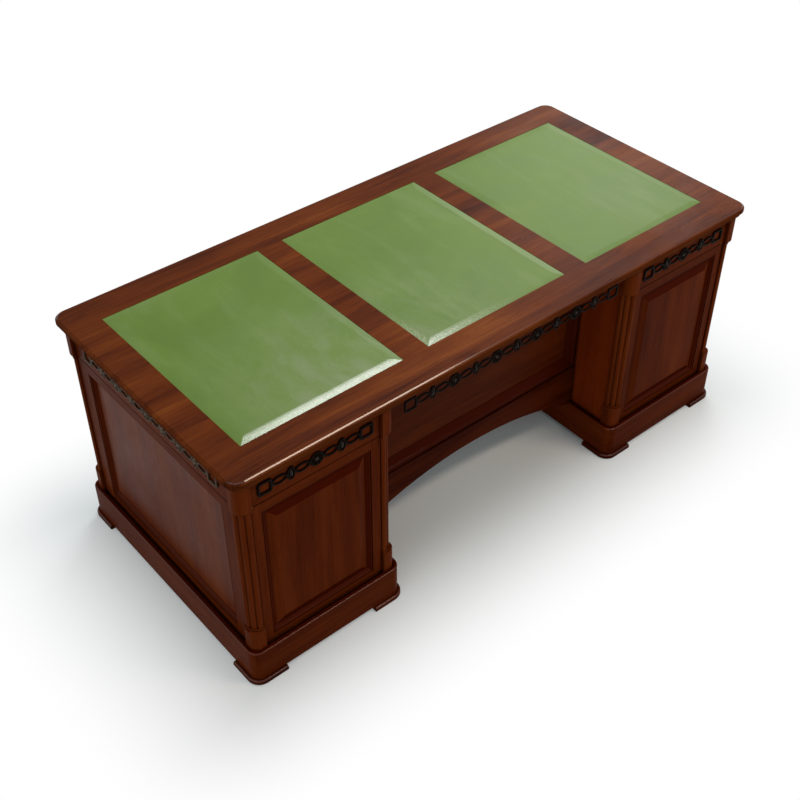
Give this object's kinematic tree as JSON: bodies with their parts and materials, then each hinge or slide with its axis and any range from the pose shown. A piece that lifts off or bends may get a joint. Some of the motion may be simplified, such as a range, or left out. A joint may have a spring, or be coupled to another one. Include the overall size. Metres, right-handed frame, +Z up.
{
  "type": "partners desk",
  "caption": "Wooden double-pedestal desk with green leather panels in its top, reeded corner columns, cupboards in front and drawers behind",
  "frame": {"origin": "on the floor under the middle of the desk", "axes": "+X along the length, -Y to the visitor's side with the cupboard doors, +Z up"},
  "size_m": [2.006, 0.928, 0.802],
  "materials": {
    "top_wood": "satin mahogany, grain along the length",
    "wood": "satin mahogany",
    "inner_wood": "plain drawer wood, waxed",
    "leather": "polished green leather",
    "fret": "dark patinated metal",
    "brass": "brushed"
  },
  "bodies": {
    "carcass": {"top_core": "top_wood", "top_front_rail": "top_wood", "top_back_rail": "top_wood", "top_left_rail": "top_wood", "top_right_rail": "top_wood", "leather_left": "leather", "leather_centre": "leather", "leather_right": "leather", "left_plinth": "wood", "left_base_board": "wood", "left_columns": "wood", "left_end_panel": "wood", "left_end_frame": "wood", "left_inner_side": "wood", "left_divider": "wood", "left_shelf": "wood", "left_front_frieze": "wood", "left_feet": "wood", "left_end_fret": "fret", "left_front_fret": "fret", "left_drawer_runners": "inner_wood", "left_door_pivots": "brass", "right_plinth": "wood", "right_base_board": "wood", "right_columns": "wood", "right_end_panel": "wood", "right_end_frame": "wood", "right_inner_side": "wood", "right_divider": "wood", "right_shelf": "wood", "right_front_frieze": "wood", "right_feet": "wood", "right_end_fret": "fret", "right_front_fret": "fret", "right_drawer_runners": "inner_wood", "right_door_pivots": "brass", "kneehole_frieze": "wood", "modesty_frame": "wood", "modesty_panel": "wood", "kneehole_fret": "fret", "centre_drawer_runners": "inner_wood", "touch_latches": "brass"},
    "left_door": {"left_door_frame": "wood", "left_door_panel": "wood"},
    "left_top_drawer": {"left_top_drawer_front": "wood", "left_top_drawer_box": "inner_wood"},
    "left_middle_drawer": {"left_middle_drawer_front": "wood", "left_middle_drawer_box": "inner_wood"},
    "left_bottom_drawer": {"left_bottom_drawer_front": "wood", "left_bottom_drawer_box": "inner_wood"},
    "right_door": {"right_door_frame": "wood", "right_door_panel": "wood"},
    "right_top_drawer": {"right_top_drawer_front": "wood", "right_top_drawer_box": "inner_wood"},
    "right_middle_drawer": {"right_middle_drawer_front": "wood", "right_middle_drawer_box": "inner_wood"},
    "right_bottom_drawer": {"right_bottom_drawer_front": "wood", "right_bottom_drawer_box": "inner_wood"},
    "centre_drawer": {"centre_drawer_front": "wood", "centre_drawer_box": "inner_wood"}
  },
  "joints": [
    {"name": "left_door_hinge", "type": "hinge", "parent": "carcass", "child": "left_door", "pos_m": [-0.9304, -0.424, 0.1305], "axis": [0, 0, -1], "range_deg": [0, 90]},
    {"name": "right_door_hinge", "type": "hinge", "parent": "carcass", "child": "right_door", "pos_m": [0.9304, -0.424, 0.1305], "axis": [0, 0, 1], "range_deg": [0, 90]},
    {"name": "left_top_drawer_slide", "type": "slide", "parent": "carcass", "child": "left_top_drawer", "axis": [0, 1, 0], "range_m": [0, 0.4]},
    {"name": "left_middle_drawer_slide", "type": "slide", "parent": "carcass", "child": "left_middle_drawer", "axis": [0, 1, 0], "range_m": [0, 0.4]},
    {"name": "left_bottom_drawer_slide", "type": "slide", "parent": "carcass", "child": "left_bottom_drawer", "axis": [0, 1, 0], "range_m": [0, 0.4]},
    {"name": "right_top_drawer_slide", "type": "slide", "parent": "carcass", "child": "right_top_drawer", "axis": [0, 1, 0], "range_m": [0, 0.4]},
    {"name": "right_middle_drawer_slide", "type": "slide", "parent": "carcass", "child": "right_middle_drawer", "axis": [0, 1, 0], "range_m": [0, 0.4]},
    {"name": "right_bottom_drawer_slide", "type": "slide", "parent": "carcass", "child": "right_bottom_drawer", "axis": [0, 1, 0], "range_m": [0, 0.4]},
    {"name": "centre_drawer_slide", "type": "slide", "parent": "carcass", "child": "centre_drawer", "axis": [0, 1, 0], "range_m": [0, 0.4]}
  ]
}
